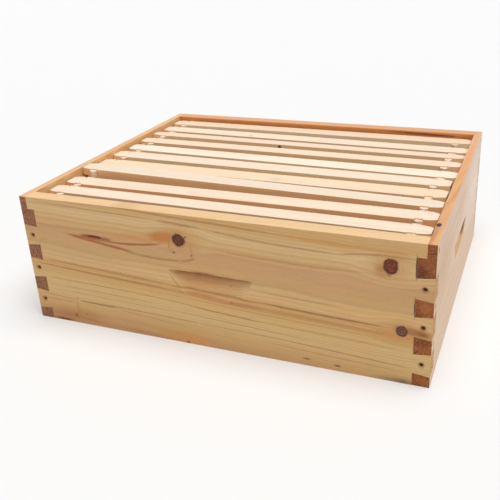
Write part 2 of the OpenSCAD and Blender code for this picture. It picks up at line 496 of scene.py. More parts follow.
class Timber(NodeSheet):
    """The sheet of one wood: the rings of a solid board, and the marks that are laid over them."""

    def __init__(self, wood: WoodFinish) -> None:
        """Finds the positions in the board by which the rest is laid.

        Args:
            wood: Finish of the board.
        """
        super().__init__(wood.name)
        self.wood = wood
        spot = self.add("ShaderNodeTexCoord", {}, {}, "Object")
        axes = [self.axis(spot, name) / MM for name in "XYZ"]
        self.along, self.through, self.across = (axes[i] for i in wood.grain.value)
        self.board = (self.along, self.through, self.across)
        sway = self.cloud(self.board, SWAY) - 0.5
        self.level = self.across - self.along * wood.slope + sway * (2.0 * wood.drift)
        for knot in wood.knots:
            self.level = self.level - self._push(knot)
        self.late = self._late_wood()
        self.grown = (self.along, self.through, self.level)
        self.fibre = self.cloud(self.grown, FIBRE)
        self.places = {rise: self.vector(self.along, self.across - self.along * rise, self.through)
                       for rise in {0.0} | {patch.rise for patch in wood.patches}}
        self.swayed = self.across + sway * 2.5
        self.face = (self.along, 0.0, self.across)
        self.patchy = self.cloud(self.face, PATCHY) * 1.6 + 0.2

    def build(self) -> bpy.types.Material:
        """Makes the material.

        Returns:
            The finished material.
        """
        planed = self._planed()
        speck = self.cloud(self.board, CELLS)
        ends = self._facing(0).step(0.55, 0.8)
        colour = self.mix(ends, planed, self._cut_across(speck))
        rough = self.fibre * 0.14 + ends * 0.22 + (self.wood.roughness - 0.07)
        relief = self.fibre * 0.6 + self.late * 0.4 + speck * ends * self.wood.end_relief
        normal = self.bump(relief, 0.4, 0.16 * MM)
        return self.close(Base_Color=colour, Roughness=rough, Normal=normal,
                          Specular_IOR_Level=0.25)

    def _facing(self, way: int) -> Signal:
        """How squarely a surface looks along, through or across the grain, from 0 to 1."""
        normal = self.add("ShaderNodeTexCoord", {}, {}, "Normal")
        return self.axis(normal, "XYZ"[self.wood.grain.value[way]]).size()

    def _push(self, knot: Knot) -> Signal:
        """How far a knot pushes the grain aside.

        Args:
            knot: The knot.

        Returns:
            The shift of the grain.
        """
        side = self.across - knot.across
        run = (self.along - knot.along) / (4.5 * knot.radius)
        near = run.square() + (side / (2.5 * knot.radius)).square()
        return side * near.fall(2.6, knot.push)

    def _late_wood(self) -> Signal:
        """Draws the dark line at the end of each year's ring, stronger in some years.

        Returns:
            Share of late wood.
        """
        pith_depth, pith_height = self.wood.pith
        depth = self.through - pith_depth
        height = self.level - pith_height
        radius = (depth * depth + height * height).root()
        wander = self.cloud((self.along, 0.0, radius), WANDER)
        rings = radius / self.wood.pitch + wander * 2.5
        settings = {"noise_dimensions": "1D"}
        year = self.add("ShaderNodeTexWhiteNoise", settings, {"W": rings.whole()}, "Value")
        turn = rings.part()
        line = turn.step(0.25, 0.85) * (1.0 - turn.step(0.9, 1.0))
        return line * (year * 0.8 + 0.2)

    def _planed(self) -> Signal:
        """Colours the planed faces, with every mark on them.

        Returns:
            The colour.
        """
        wood = self.wood
        colour = self._ground()
        for way, tint, share in ((1, wood.side, wood.side_share), (2, wood.rim, wood.rim_share)):
            if tint:
                colour = self.mix(self._facing(way).step(0.5, 0.9) * share, colour, tint)
        share = self.late * wood.ring_share
        dark = self.mix(0.55, colour, wood.late, "MULTIPLY")
        colour = self.mix(share, colour, dark)
        for patch in wood.patches:
            colour = self._stained(colour, patch, self.patchy)
        for vein in wood.veins:
            colour = self._veined(colour, vein)
        flecks = self.cloud(self.grown, FLECK)
        colour = self.mix(flecks.step(0.66, 0.76) * wood.fleck_share, colour, wood.late)
        for knot in wood.knots:
            colour = self._knotted(colour, knot)
        colour = self.tone(colour, self.fibre * (2.0 * wood.fibre_share) + (1.0 - wood.fibre_share))
        for spot in wood.spots:
            colour = self._spotted(colour, spot)
        return colour

    def _ground(self) -> Signal:
        """Colours the wood between its lines.

        Returns:
            The colour.
        """
        wood = self.wood
        kind = Cloud((wood.warm_reach, wood.warm_width, wood.warm_width), 3.0, 0.6)
        share = self.cloud(self.grown, kind).step(0.36, 0.68) * wood.warm_share
        if not wood.bands:
            return self.mix(share, wood.pale, wood.warm)
        top = wood.bands[-1][0]
        stops = [(place / top, tint) for place, tint in wood.bands]
        inputs = {"Fac": self.level / top}
        ground = self.add("ShaderNodeValToRGB", {"stops": stops}, inputs, "Color")
        return self.mix(share * 0.6, ground, wood.warm)

    def _cut_across(self, speck: Signal) -> Signal:
        """Colours the wood where it is cut across, speckled by its open fibres.

        Args:
            speck: Noise of the open fibres.

        Returns:
            The colour.
        """
        wood = self.wood
        streaky = self.late * 0.7 + speck.step(0.3, 0.7) * 0.5 + 0.2
        blotch = self.cloud((self.through, 0.0, self.across), BLOTCH)
        shade = speck.step(0.36, 0.66) * 0.4 + blotch.step(0.3, 0.7) * 0.4 + 0.72 - self.late * 0.6
        colour = self.tone(wood.end, shade)
        grey = tuple(0.45 * part + 0.22 for part in wood.end)
        colour = self.mix(blotch.step(0.5, 0.66) * wood.end_grey, colour, grey)
        for patch in wood.end_marks:
            colour = self._stained(colour, patch, streaky)
        return colour

    def _veined(self, colour: Signal, vein: Vein) -> Signal:
        """Lays a vein over a colour.

        Args:
            colour: Colour under it.
            vein: The vein.

        Returns:
            The new colour.
        """
        slope = (vein.high - vein.low) / (vein.end - vein.start)
        half = (vein.end - vein.start) / 2
        run = self.along.line(1 / half, -(vein.start + half) / half)
        base = (slope * vein.start - vein.low) / vein.width
        straight = self.along.line(-slope / vein.width, base)
        side = self.swayed.line(1 / vein.width, straight)
        reach = run.square()
        if vein.bow:
            side = reach.line(vein.bow / vein.width, side - vein.bow / vein.width)
        share = reach.square().line(3.2, side.square()).fall(3.2, vein.strength)
        return self.mix(share * self.patchy, colour, vein.tint)

    def _stained(self, colour: Signal, patch: Patch, patchy: Signal) -> Signal:
        """Lays a stain, or painted shade or light, over a colour.

        Args:
            colour: Colour under it.
            patch: The stain, or the painted shade or light.
            patchy: Noise by which its strength varies.

        Returns:
            The new colour.
        """
        middle = (patch.along, patch.across - patch.rise * patch.along, patch.through or 0.0)
        reach = (patch.reach, patch.width, FAR if patch.through is None else patch.depth)
        share = self.around(self.places[patch.rise], middle, reach).fall(2.0, patch.strength)
        return self.mix(share * patchy, colour, patch.tint)

    def _spotted(self, colour: Signal, spot: Spot) -> Signal:
        """Lays a small round mark over a colour.

        Args:
            colour: Colour under it.
            spot: The mark.

        Returns:
            The new colour.
        """
        middle = (spot.along, spot.across, spot.through or 0.0)
        reach = (spot.radius, spot.radius, FAR if spot.through is None else spot.radius)
        share = self.around(self.places[0.0], middle, reach).fall(1.4, spot.strength * 1.3)
        return self.mix(share, colour, spot.tint)

    def _knotted(self, colour: Signal, knot: Knot) -> Signal:
        """Lays a knot with its rings, bark rim and stained surround over a colour.

        Args:
            colour: Colour under it.
            knot: The knot.

        Returns:
            The new colour.
        """
        run = (self.along - knot.along) / knot.radius
        side = (self.across - knot.across) / (knot.radius * knot.tall)
        grit = self.cloud(self.face, GRIT)
        wobble = self.cloud(self.face, WOBBLE) - 0.5
        reach = (run.square() + side.square()).root() + (grit - 0.5) * 0.35 + wobble * 0.5
        flow = ((run / 2.6).square() + (side / 1.5).square()).fall(3.0, knot.halo)
        colour = self.mix(flow, colour, knot.stain)
        ripple = (reach * 2.2).part().step(0.35, 0.95) * reach.fall(3.2, 0.9 * knot.halo)
        colour = self.mix(ripple, colour, knot.ripple)
        heart = self.mix((reach * 3.0).part().step(0.2, 0.9) * 0.6, knot.heart, knot.core)
        heart = self.mix(grit.step(0.52, 0.6) * 0.55, heart, knot.grit)
        heart = self.mix((0.47 - grit).step(0.0, 0.06) * 0.8, heart, knot.crack)
        colour = self.mix(1.0 - reach.step(0.9, 1.12), colour, heart)
        bark = reach.step(0.66, 0.9) * (1.0 - reach.step(0.98, 1.2))
        return self.mix(bark * 0.6, colour, knot.bark)


@dataclass(frozen=True)
class SteelFinish:
    """Wire nails gone brown with rust and resin."""

    name: str = "nail_steel"
    bright: Tint = (0.105, 0.04, 0.016)
    dull: Tint = (0.045, 0.014, 0.006)

    def build(self) -> bpy.types.Material:
        """Makes the material.

        Returns:
            The finished material.
        """
        sheet = NodeSheet(self.name)
        place = sheet.add("ShaderNodeTexCoord", {}, {}, "Object")
        wear = sheet.noise(place, 900.0, 3.0).step(0.4, 0.65)
        colour = sheet.mix(wear, self.bright, self.dull)
        return sheet.close(Base_Color=colour, Roughness=wear * 0.2 + 0.6, Metallic=0.25,
                           Specular_IOR_Level=0.2)


@dataclass(frozen=True)
class WaxFinish:
    """Milled beeswax sheet, paler where the bloom lies in the cells."""

    name: str = "beeswax"
    deep: Tint = (0.66, 0.40, 0.13)
    bloom: Tint = (0.78, 0.55, 0.25)

    def build(self) -> bpy.types.Material:
        """Makes the material.

        Returns:
            The finished material.
        """
        sheet = NodeSheet(self.name)
        place = sheet.add("ShaderNodeTexCoord", {}, {}, "Object")
        cloud = sheet.noise(place, 14.0, 3.0, 0.5).step(0.25, 0.8)
        grit = sheet.noise(place, 1400.0, 2.0)
        colour = sheet.mix(cloud, self.deep, self.bloom)
        normal = sheet.bump(grit, 0.2, 0.05 * MM)
        return sheet.close(Base_Color=colour, Roughness=grit * 0.15 + 0.38, Normal=normal,
                           Subsurface_Weight=0.12, Subsurface_Radius=(0.004, 0.002, 0.001))


@dataclass(frozen=True)
class BackdropFinish:
    """Evenly lit white cloth round the studio."""

    name: str = "backdrop_cloth"
    glow: float = 1.0

    def build(self) -> bpy.types.Material:
        """Makes the material.

        Returns:
            The finished material.
        """
        sheet = NodeSheet(self.name)
        return sheet.close(Base_Color=(0.0, 0.0, 0.0, 1.0), Roughness=1.0, Specular_IOR_Level=0.0,
                           Emission_Color=(1.0, 1.0, 1.0, 1.0), Emission_Strength=self.glow)


@dataclass(frozen=True)
class FloorFinish:
    """Plain pale studio floor."""

    name: str = "floor_paint"
    tint: Tint = (0.80, 0.80, 0.80)

    def build(self) -> bpy.types.Material:
        """Makes the material.

        Returns:
            The finished material.
        """
        sheet = NodeSheet(self.name)
        return sheet.close(Base_Color=(*self.tint, 1.0), Roughness=0.85, Specular_IOR_Level=0.1)


# ---- mesh work ----


# Points and faces of a solid.
Shape = tuple[list[Vector], list[tuple[int, ...]]]
# Points that lie closer together than this are one point.
WELD = 0.002 * MM
# An edge whose ends both lie closer to a wall than this runs along it.
AT_WALL = 0.6 * MM
# Faces that meet under less than the first angle are one face, those that meet under less than
# the second are shaded as one, and those that meet under more than the third have an arris.
LEVEL_ANGLE = math.radians(0.5)
SMOOTH_ANGLE = math.radians(15.0)
ARRIS_ANGLE = math.radians(35.0)


def solid_mesh(name: str, points: Iterable[Sequence[float]],
               faces: Iterable[Sequence[int]]) -> bpy.types.Mesh:
    """Makes a mesh from its points and faces.

    Args:
        name: Name of the mesh.
        points: Corner points.
        faces: Corner numbers of each face.

    Returns:
        The mesh.
    """
    mesh = bpy.data.meshes.new(name)
    mesh.from_pydata([tuple(p) for p in points], [], [tuple(f) for f in faces])
    mesh.update()
    return mesh


def placed(name: str, data: bpy.types.ID) -> bpy.types.Object:
    """Puts a mesh, a light or a camera into the scene.

    Args:
        name: Name of the object.
        data: What it shows.

    Returns:
        The object.
    """
    thing = bpy.data.objects.new(name, data)
    bpy.context.scene.collection.objects.link(thing)
    return thing


def welded(mesh: bpy.types.Mesh) -> bmesh.types.BMesh:
    """Opens a mesh for editing, with points in one place joined up.

    Args:
        mesh: The mesh, which stays as it is.

    Returns:
        The editable mesh.
    """
    work = bmesh.new()
    work.from_mesh(mesh)
    bmesh.ops.remove_doubles(work, verts=work.verts, dist=WELD)
    return work


@dataclass
class Turning:
    """A round piece turned from a profile of distances along its axis and radii."""

    profile: Sequence[tuple[float, float]]
    sides: int

    def shape(self, place: Matrix, ragged: Callable[[], float] | None = None) -> Shape:
        """Points and faces of the turned piece.

        Args:
            place: Matrix whose Z axis is the piece's own axis.
            ragged: Gives a factor for each radius, or nothing for a true circle.

        Returns:
            The points and the faces.
        """
        points, faces = [], []
        factors = [ragged() if ragged else 1.0 for _ in range(self.sides)]
        for distance, radius in self.profile:
            for k, factor in enumerate(factors):
                angle = math.tau * k / self.sides
                reach = radius * factor
                flat = (reach * math.cos(angle), reach * math.sin(angle))
                points.append(place @ Vector((*flat, distance)))
        for row in range(len(self.profile) - 1):
            for k in range(self.sides):
                low = row * self.sides + k
                side = row * self.sides + (k + 1) % self.sides
                faces.append((low, side, side + self.sides, low + self.sides))
        faces.append(tuple(reversed(range(self.sides))))
        last = (len(self.profile) - 1) * self.sides
        faces.append(tuple(range(last, last + self.sides)))
        return points, faces


def gather(shapes: Iterable[Shape], name: str) -> bpy.types.Mesh:
    """Joins several shapes to one mesh of separate solids.

    Args:
        shapes: Points and faces of each solid.
        name: Name of the mesh.

    Returns:
        The mesh.
    """
    points, faces = [], []
    for shape_points, shape_faces in shapes:
        start = len(points)
        points.extend(shape_points)
        faces.extend(tuple(start + i for i in f) for f in shape_faces)
    return solid_mesh(name, points, faces)


def evaluated(mesh: bpy.types.Mesh, kind: str, settings: dict[str, object]) -> bpy.types.Mesh:
    """Applies one modifier to a mesh.

    Args:
        mesh: Mesh to work on.
        kind: Type of the modifier.
        settings: Its attributes.

    Returns:
        The new mesh.
    """
    holder = placed("work", mesh)
    modifier = holder.modifiers.new("work", kind)
    for key, value in settings.items():
        setattr(modifier, key, value)
    graph = bpy.context.evaluated_depsgraph_get()
    made = bpy.data.meshes.new_from_object(holder.evaluated_get(graph))
    bpy.data.objects.remove(holder)
    return made


@dataclass
class Blank:
    """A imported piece's own shape, taken over for hand finishing."""

    node: str
    mesh: bpy.types.Mesh = field(init=False)

    def __post_init__(self) -> None:
        """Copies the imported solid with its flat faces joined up."""
        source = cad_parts[self.node].data
        points = [vertex.co for vertex in source.vertices]
        self.mesh = solid_mesh(self.node, points, [face.vertices for face in source.polygons])
        work = welded(self.mesh)
        bmesh.ops.dissolve_limit(work, angle_limit=LEVEL_ANGLE, verts=work.verts, edges=work.edges,
                                 use_dissolve_boundaries=False)
        work.to_mesh(self.mesh)
        work.free()

    def cut(self, cutter: bpy.types.Mesh) -> None:
        """Takes a shape out of the piece.

        Args:
            cutter: Mesh of the shape.
        """
        knife = placed("knife", cutter)
        self.mesh = evaluated(self.mesh, "BOOLEAN", {"object": knife, "solver": "EXACT"})
        bpy.data.objects.remove(knife)

    def ease(self, width: float, shortest: float, joint_share: float) -> None:
        """Rounds the arrises over.

        Args:
            width: Width of the rounding on the piece's outer arrises.
            shortest: Edges shorter than this stay sharp.
            joint_share: Share of the width that the arrises inside the piece's box get.
        """
        work = bmesh.new()
        work.from_mesh(self.mesh)
        weight = work.edges.layers.float.new("bevel_weight_edge")
        low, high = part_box(self.node)
        for edge in work.edges:
            if len(edge.link_faces) != 2 or not edge.is_convex or edge.calc_length() < shortest:
                continue
            if edge.calc_face_angle() >= ARRIS_ANGLE:
                edge[weight] = 1.0 if self._on_corner(edge, low, high) else joint_share
        work.to_mesh(self.mesh)
        work.free()
        settings = {"limit_method": "WEIGHT", "width": width, "segments": 2,
                    "use_clamp_overlap": True, "miter_outer": "MITER_ARC"}
        self.mesh = evaluated(self.mesh, "BEVEL", settings)

    @staticmethod
    def _on_corner(edge: bmesh.types.BMEdge, low: Vector, high: Vector) -> bool:
        """Whether an edge lies where two faces of the piece's box meet.

        Args:
            edge: The edge.
            low: Lowest corner of the piece's box.
            high: Highest corner of the piece's box.

        Returns:
            True on such an edge.
        """
        walls = 0
        for axis in range(3):
            places = [vertex.co[axis] for vertex in edge.verts]
            walls += any(all(abs(place - wall) < AT_WALL for place in places)
                         for wall in (low[axis], high[axis]))
        return walls >= 2

    def dress(self, body: str, slot: str, material: bpy.types.Material) -> bpy.types.Object:
        """Ends the work: the piece stands for its node.

        Args:
            body: Body that the piece moves with.
            slot: Material slot of the record.
            material: Finish of the piece.

        Returns:
            The dressed piece.
        """
        self.mesh.set_sharp_from_angle(angle=SMOOTH_ANGLE)
        return dressed(self.mesh, f"{self.node}_wood", body, slot, material, (self.node,))


def dressed(mesh: bpy.types.Mesh, name: str, body: str, slot: str,
            material: bpy.types.Material, nodes: Sequence[str] = ()) -> bpy.types.Object:
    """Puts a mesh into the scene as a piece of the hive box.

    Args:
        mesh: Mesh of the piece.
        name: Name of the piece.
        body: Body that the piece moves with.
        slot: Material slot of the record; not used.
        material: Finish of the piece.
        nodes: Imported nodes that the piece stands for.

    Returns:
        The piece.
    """
    mesh.materials.clear()
    mesh.materials.append(material)
    piece = placed(name, mesh)
    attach(piece, body)
    if nodes:
        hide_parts(*nodes)
    log.info("%s: %d faces, on %s", name, len(mesh.polygons), body)
    return piece


# ---- the box ----


class Side(Enum):
    """A board's outer side, as the direction it faces."""

    FRONT = (0, -1)
    REAR = (0, 1)
    LEFT = (-1, 0)
    RIGHT = (1, 0)

    @property
    def node(self) -> str:
        """Name of the board's node."""
        return f"{self.name.lower()}_board" if self.long else f"{self.name.lower()}_end_board"

    @property
    def long(self) -> bool:
        """Whether the board is one of the long ones."""
        return self.value[0] == 0


@dataclass
class BoxBody:
    """The four dovetailed boards and the nails that hold their corners."""

    ease_width: float = 0.7 * MM
    joint_share: float = 0.16
    shortest_edge: float = 3.0 * MM
    crater_d: float = 7.0 * MM
    crater_depth: float = 1.1 * MM
    crater_wobble: tuple[float, float] = (0.9, 1.08)
    hole_d: float = 4.2 * MM
    head_d: float = 4.0 * MM
    head_t: float = 1.2 * MM
    shank_d: float = 2.8 * MM
    ribs: int = 6
    rib_start: float = 1.2 * MM
    rib_pitch: float = 0.9 * MM
    nail_rows: float = 12.0 * MM
    finishes: dict[Side, WoodFinish] = field(default_factory=dict)

    def build(self) -> None:
        """Builds the boards and the nails."""
        steel = SteelFinish().build()
        for node in ("tail_nails", "pin_nails"):
            shapes = [self._nail(place, length) for place, length in self._nails(node)]
            dressed(gather(shapes, node), f"{node}_steel", "box", "nails", steel, (node,))
        for side, finish in self.finishes.items():
            self._board(side, finish)

    def _board(self, side: Side, finish: WoodFinish) -> None:
        """Builds one board with a crushed crater round each nail that is driven into it.

        Args:
            side: Outer side of the board.
            finish: Finish of its wood.
        """
        blank = Blank(side.node)
        draws = random.Random(side.node)
        nails, slot = ("tail_nails", "long_boards") if side.long else ("pin_nails", "end_boards")
        facing = Vector((*side.value, 0))
        cone = Turning([(-1.0 * MM, 0.62 * self.crater_d), (0.0, 0.5 * self.crater_d),
                        (self.crater_depth, 0.5 * self.hole_d)], 18)
        shapes = []
        for place, _ in self._nails(nails):
            if place.col[2].to_3d().dot(facing) < 0.0:
                surface = place @ Matrix.Translation((0, 0, -self._sunk(side, place)))
                shapes.append(cone.shape(surface, lambda: draws.uniform(*self.crater_wobble)))
        blank.cut(gather(shapes, "craters"))
        blank.ease(self.ease_width, self.shortest_edge, self.joint_share)
        blank.dress("box", slot, finish.build())

    @staticmethod
    def _sunk(side: Side, place: Matrix) -> float:
        """How deep a nail's head lies under a board's outer face.

        Args:
            side: Outer side of the board.
            place: Place of the nail.

        Returns:
            The depth.
        """
        low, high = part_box(side.node)
        axis = 0 if side.value[0] else 1
        wall = low[axis] if sum(side.value) < 0 else high[axis]
        return abs(place.translation[axis] - wall)

    def _nails(self, node: str) -> list[tuple[Matrix, float]]:
        """Where the nails of a node are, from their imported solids.

        Args:
            node: Name of the node of nails.

        Returns:
            Of each nail, a matrix whose Z axis runs from its head down the shank, and its length.
        """
        work = welded(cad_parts[node].data)
        axis = 1 if node == "tail_nails" else 0
        groups: dict[tuple[bool, bool, int], list[Vector]] = {}
        for vertex in work.verts:
            key = (vertex.co.x > 0, vertex.co.y > 0, round(vertex.co.z / self.nail_rows))
            groups.setdefault(key, []).append(vertex.co.copy())
        work.free()
        found = []
        for points in groups.values():
            low = Vector([min(p[i] for p in points) for i in range(3)])
            high = Vector([max(p[i] for p in points) for i in range(3)])
            middle = (low + high) / 2
            inwards = Vector((0, 0, 0))
            inwards[axis] = -1.0 if middle[axis] > 0 else 1.0
            middle[axis] = low[axis] if inwards[axis] > 0 else high[axis]
            turn = inwards.to_track_quat("Z", "Y").to_matrix().to_4x4()
            found.append((Matrix.Translation(middle) @ turn, (high - low)[axis]))
        return found

    def _nail(self, place: Matrix, length: float) -> Shape:
        """Shapes a wire nail: domed head, gripping ribs under it and a point.

        Args:
            place: Matrix whose Z axis runs from the head down the shank.
            length: Length of the nail.

        Returns:
            Its points and faces.
        """
        shank = self.shank_d / 2
        head = self.head_d / 2
        profile = [(0.0, 0.5 * head), (0.12 * self.head_t, 0.85 * head), (0.35 * self.head_t, head),
                   (0.6 * self.head_t, head), (self.head_t, 1.1 * shank)]
        for rib in range(self.ribs):
            start = self.head_t + self.rib_start + self.rib_pitch * rib
            profile += [(start, shank), (start + 0.3 * MM, 0.92 * shank), (start + 0.6 * MM, shank)]
        profile += [(length - 5.0 * MM, shank), (length - 0.4 * MM, 0.12 * shank)]
        return Turning(profile, 24).shape(place)


# ---- the frames ----


@dataclass
class HangingFrame:
    """One frame: top bar, two end bars, bottom bar, wax sheet and the brads that hold them."""

    number: int
    top_finish: WoodFinish
    end_material: bpy.types.Material
    bottom_material: bpy.types.Material
    wax: bpy.types.Material
    steel: bpy.types.Material
    ease_width: float = 0.5 * MM
    shortest_edge: float = 2.0 * MM
    joint_share: float = 0.25
    end_bar_ease: float = 0.6
    brad_d: float = 1.2 * MM
    brad_head_d: float = 2.4 * MM
    brad_l: float = 16.0 * MM
    ear_drop: float = 9.0 * MM
    shoulder_inset: float = 3.5 * MM
    foot_offset: float = 4.0 * MM

    @property
    def body(self) -> str:
        """Name of the frame's body."""
        return f"frame_{self.number:02d}"

    def node(self, piece: str) -> str:
        """Name of the node of one of the frame's pieces."""
        return f"{self.body}_{piece}"

    def build(self) -> None:
        """Builds the pieces of the frame."""
        self._wood("top_bar", "top_bars", self.top_finish.build())
        for side in ("left", "right"):
            self._wood(f"{side}_end_bar", "end_bars", self.end_material, self.end_bar_ease)
        self._wood("bottom_bar", "bottom_bars", self.bottom_material)
        WaxSheet(self.node("foundation"), self.body, self.wax).build()
        self._brads()

    def _wood(self, piece: str, slot: str, material: bpy.types.Material,
              share: float = 1.0) -> None:
        """Builds one wooden piece.

        Args:
            piece: Name of the piece.
            slot: Material slot of the record.
            material: Finish of the piece.
            share: Share of the usual width by which its arrises are eased.
        """
        blank = Blank(self.node(piece))
        blank.ease(self.ease_width * share, self.shortest_edge, self.joint_share)
        blank.dress(self.body, slot, material)

    def _brads(self) -> None:
        """Builds the brads through the ears and up through the bottom bar."""
        head = self.brad_head_d / 2
        shank = self.brad_d / 2
        profile = [(-0.25 * MM, 0.55 * head), (-0.15 * MM, 0.95 * head), (0.1 * MM, head),
                   (0.5 * MM, shank), (self.brad_l - 2.0 * MM, shank), (self.brad_l, 0.1 * shank)]
        turning = Turning(profile, 14)
        shapes = []
        for side in ("left", "right"):
            low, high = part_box(self.node(f"{side}_end_bar"))
            middle = (low + high) / 2
            for place, way in ((high.y, -1.0), (low.y + self.shoulder_inset, 1.0)):
                start = Vector((middle.x, place, high.z - self.ear_drop))
                shapes.append(self._brad(turning, start, Vector((0, way, 0))))
            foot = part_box(self.node("bottom_bar"))[0].z
            for offset in (-self.foot_offset, self.foot_offset):
                start = Vector((middle.x, middle.y + offset, foot))
                shapes.append(self._brad(turning, start, Vector((0, 0, 1))))
        name = f"{self.body}_brads"
        dressed(gather(shapes, name), name, self.body, "nails", self.steel)

    @staticmethod
    def _brad(turning: Turning, start: Vector, way: Vector) -> Shape:
        """Shape of a brad with its head at start, driven in the direction of way."""
        turn = way.to_track_quat("Z", "Y").to_matrix().to_4x4()
        return turning.shape(Matrix.Translation(start) @ turn)


@dataclass
class WaxSheet:
    """A wax sheet milled with the bases of the cells on both sides."""

    node: str
    body: str
    material: bpy.types.Material
    cell_w: float = 5.4 * MM
    cell_depth: float = 0.55 * MM
    margin: float = 5.0 * MM
    shortest_edge: float = 0.1 * MM

    def build(self) -> None:
        """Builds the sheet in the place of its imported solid."""
        origin, axes, size = self._place()
        spacing = self.cell_w / math.sqrt(3.0)
        columns = int(size.x / spacing)
        rows = int(size.z / (spacing * math.sqrt(0.75)))
        points, faces = [], []
        for side in (-1.0, 1.0):
            for row in range(rows + 1):
                for column in range(columns + 1):
                    u, w = self._spot(row, column, rows, columns, size)
                    dip = self._dip(row, column, u, w, size)
                    points.append(origin + axes @ Vector((u, side * (size.y / 2 - dip), w)))
        count = (rows + 1) * (columns + 1)
        for side in (0, 1):
            for row in range(rows):
                for column in range(columns):
                    faces.extend(self._cell(row, column, columns, side * count, side == 1))
        faces.extend(self._rim(rows, columns, count))
        mesh = solid_mesh(self.node, points, faces)
        dressed(mesh, f"{self.node}_wax", self.body, "foundation", self.material, (self.node,))

    def _place(self) -> tuple[Vector, Matrix, Vector]:
        """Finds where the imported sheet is.

        Returns:
            Its middle, its directions along, through and up, and its sizes in them.
        """
        corners = [vertex.co.copy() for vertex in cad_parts[self.node].data.vertices]
        origin = sum(corners, Vector()) / len(corners)
        lean = Vector((1.0, 0.1, 0.01))
        far = max(corners, key=lambda corner: (corner - origin).dot(lean))
        edges = {tuple(round(part, 6) for part in corner - far) for corner in corners}
        steps = sorted(map(Vector, edges), key=lambda step: step.length)
        steps = [step for step in steps if step.length > self.shortest_edge]
        thick = steps[0]
        square = 1e-3 * thick.length
        tall = next(step for step in steps if abs(step.dot(thick)) < square * step.length + 1e-9)
        long = thick.cross(tall)
        length = max(abs((corner - origin).dot(long.normalized())) for corner in corners) * 2
        x_axis = long.normalized() * math.copysign(1.0, long.x)
        z_axis = tall.normalized() * math.copysign(1.0, tall.z)
        y_axis = z_axis.cross(x_axis)
        axes = Matrix((x_axis, y_axis, z_axis)).transposed()
        return origin, axes, Vector((length, thick.length, tall.length))

    @staticmethod
    def _spot(row: int, column: int, rows: int, columns: int, size: Vector) -> tuple[float, float]:
        """Place of a lattice point on the sheet, with every other row shifted by half a step.

        Args:
            row: Row of the point, from below.
            column: Column of the point, from the left.
            rows: Number of the last row.
            columns: Number of the last column.
            size: Sizes of the sheet.

        Returns:
            How far the point lies along and above the sheet's middle.
        """
        step = size.x / columns
        shift = 0.5 * step if row % 2 and 0 < column < columns else 0.0
        u = min(max(column * step + shift, 0.0), size.x) - size.x / 2
        return u, size.z * row / rows - size.z / 2

    def _dip(self, row: int, column: int, u: float, w: float, size: Vector) -> float:
        """Depth of the relief at a lattice point, which is deep in the middle of a cell."""
        inside = abs(u) < size.x / 2 - self.margin and abs(w) < size.z / 2 - self.margin
        return self.cell_depth if inside and column % 3 == row % 2 else 0.0

    @staticmethod
    def _cell(row: int, column: int, columns: int, start: int,
              far_side: bool) -> list[tuple[int, ...]]:
        """Makes two triangles of the lattice, wound outwards.

        Args:
            row: Row of their lower points.
            column: Column of their left points.
            columns: Number of the last column.
            start: Number of the side's first point.
            far_side: Whether they lie on the far side of the sheet.

        Returns:
            The triangles.
        """
        near = start + row * (columns + 1) + column
        over = near + columns + 1
        if row % 2:
            pair = [(near, near + 1, over + 1), (near, over + 1, over)]
        else:
            pair = [(near, near + 1, over), (near + 1, over + 1, over)]
        return [tuple(reversed(f)) for f in pair] if far_side else pair

    @staticmethod
    def _rim(rows: int, columns: int, count: int) -> list[tuple[int, ...]]:
        """Makes the faces round the edge of the sheet, from one side to the other.

        Args:
            rows: Number of the last row.
            columns: Number of the last column.
            count: Number of points on each side.

        Returns:
            The faces.
        """
        wide = columns + 1
        loop = [*range(columns)] + [columns + row * wide for row in range(rows)]
        loop += [rows * wide + column for column in range(columns, 0, -1)]
        loop += [row * wide for row in range(rows, 0, -1)]
        return [(b, a, a + count, b + count) for a, b in zip(loop, loop[1:] + loop[:1])]


# ---- the studio ----


